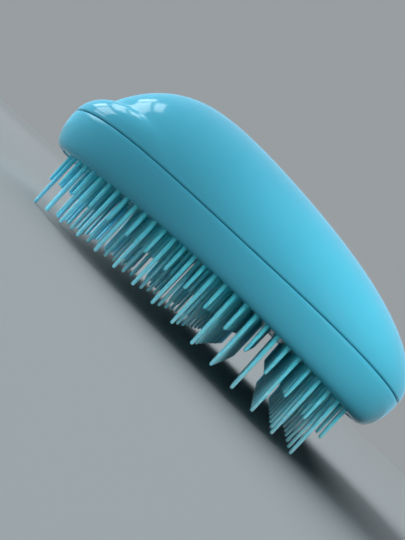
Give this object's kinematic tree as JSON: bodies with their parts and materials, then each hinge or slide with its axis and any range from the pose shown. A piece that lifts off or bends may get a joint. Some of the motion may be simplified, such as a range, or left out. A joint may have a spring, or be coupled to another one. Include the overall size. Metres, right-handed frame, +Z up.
{
  "type": "detangling hairbrush",
  "caption": "Palm-held detangling hairbrush: a humped gloss plastic cover over a rim band that holds a pad of long and short flexible teeth.",
  "frame": {"origin": "bottom centre of the bounding box: the brush stands on its tooth tips, which are at z = 0", "axes": "+Z up from the tooth tips through the humped cover; +X along the brush towards its rounded rear end, with the finger ledge at -X; Y across the brush"},
  "size_m": [0.115, 0.0704, 0.055],
  "materials": {
    "cover_plastic": "polished sky turquoise moulded plastic",
    "rim_plastic": "polished sky turquoise moulded plastic",
    "tooth_plastic": "satin sky turquoise flexible plastic"
  },
  "bodies": {
    "root": {"handle_cover": "cover_plastic", "rim_band": "rim_plastic", "tooth_pad": "tooth_plastic"}
  },
  "joints": []
}
